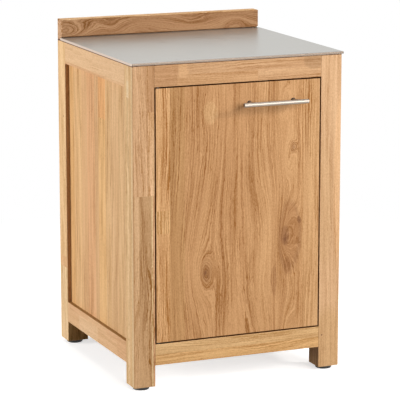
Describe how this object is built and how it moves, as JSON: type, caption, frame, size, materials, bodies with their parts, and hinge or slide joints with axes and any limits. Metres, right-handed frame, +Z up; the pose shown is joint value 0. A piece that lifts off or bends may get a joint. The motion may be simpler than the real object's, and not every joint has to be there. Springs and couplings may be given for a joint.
{
  "type": "outdoor kitchen unit",
  "caption": "Free-standing teak outdoor kitchen cabinet with a thin folded steel worktop, a rear upstand, a hinged door with a bar handle, an inner shelf and levelling glides.",
  "frame": {"origin": "on the ground at the centre of the whole outline, with the handle and the worktop's overhang included", "axes": "+Z up, -Y is the front with the door, +X is to the right of someone who faces the door"},
  "size_m": [0.609, 0.618, 0.93],
  "materials": {
    "teak_frame": "sanded matt",
    "teak_panel": "sanded matt",
    "teak_door": "sanded matt",
    "teak_upstand": "sanded matt",
    "stainless": "fine brushed",
    "zinc_steel": "zinc plated",
    "black_steel": "black passivated",
    "black_laminate": "compact laminate",
    "black_plastic": "moulded",
    "black_nylon": "turned",
    "brass": "turned"
  },
  "bodies": {
    "frame": {"post_front_left": "teak_frame", "post_front_right": "teak_frame", "post_back_left": "teak_frame", "post_back_right": "teak_frame", "rail_front_top": "teak_frame", "rail_front_bottom": "teak_frame", "rail_back_top": "teak_frame", "rail_back_bottom": "teak_frame", "rail_left_top": "teak_frame", "rail_left_bottom": "teak_frame", "rail_right_top": "teak_frame", "rail_right_bottom": "teak_frame", "panel_left": "teak_panel", "panel_right": "teak_panel", "panel_back": "teak_panel", "floor_cleat_left": "teak_frame", "floor_cleat_right": "teak_frame", "floor_slat_1": "teak_panel", "floor_slat_2": "teak_panel", "floor_slat_3": "teak_panel", "floor_slat_4": "teak_panel", "floor_slat_5": "teak_panel", "shelf_board": "teak_panel", "shelf_pin_front_left": "zinc_steel", "shelf_pin_front_right": "zinc_steel", "shelf_pin_back_left": "zinc_steel", "shelf_pin_back_right": "zinc_steel", "worktop_cleat_left": "teak_frame", "worktop_cleat_right": "teak_frame", "worktop_board": "black_laminate", "worktop_sheet": "stainless", "upstand": "teak_upstand", "upstand_dowel_left": "teak_frame", "upstand_dowel_right": "teak_frame", "hinge_upper_frame_leaf": "black_steel", "hinge_upper_washer": "black_nylon", "hinge_lower_frame_leaf": "black_steel", "hinge_lower_washer": "black_nylon", "catch_body": "black_plastic", "glide_insert_front_left": "brass", "glide_insert_front_right": "brass", "glide_insert_back_left": "brass", "glide_insert_back_right": "brass"},
    "door": {"door_panel": "teak_door", "door_batten_upper": "teak_door", "door_batten_lower": "teak_door", "handle_bar": "stainless", "handle_leg_left": "stainless", "handle_leg_right": "stainless", "handle_screw_left": "zinc_steel", "handle_screw_right": "zinc_steel", "hinge_upper_door_leaf": "black_steel", "hinge_lower_door_leaf": "black_steel", "catch_strike": "zinc_steel"},
    "glide_front_left": {"glide_front_left": "black_plastic"},
    "glide_front_right": {"glide_front_right": "black_plastic"},
    "glide_back_left": {"glide_back_left": "black_plastic"},
    "glide_back_right": {"glide_back_right": "black_plastic"}
  },
  "joints": [
    {"name": "door_hinge", "type": "hinge", "parent": "frame", "child": "door", "pos_m": [-0.2295, -0.264, 0.46975], "axis": [0, 0, -1], "range_deg": [0, 105]},
    {"name": "glide_front_left_screw", "type": "slide", "parent": "frame", "child": "glide_front_left", "axis": [0, 0, -1], "range_m": [0, 0.012]},
    {"name": "glide_front_right_screw", "type": "slide", "parent": "frame", "child": "glide_front_right", "axis": [0, 0, -1], "range_m": [0, 0.012]},
    {"name": "glide_back_left_screw", "type": "slide", "parent": "frame", "child": "glide_back_left", "axis": [0, 0, -1], "range_m": [0, 0.012]},
    {"name": "glide_back_right_screw", "type": "slide", "parent": "frame", "child": "glide_back_right", "axis": [0, 0, -1], "range_m": [0, 0.012]}
  ]
}
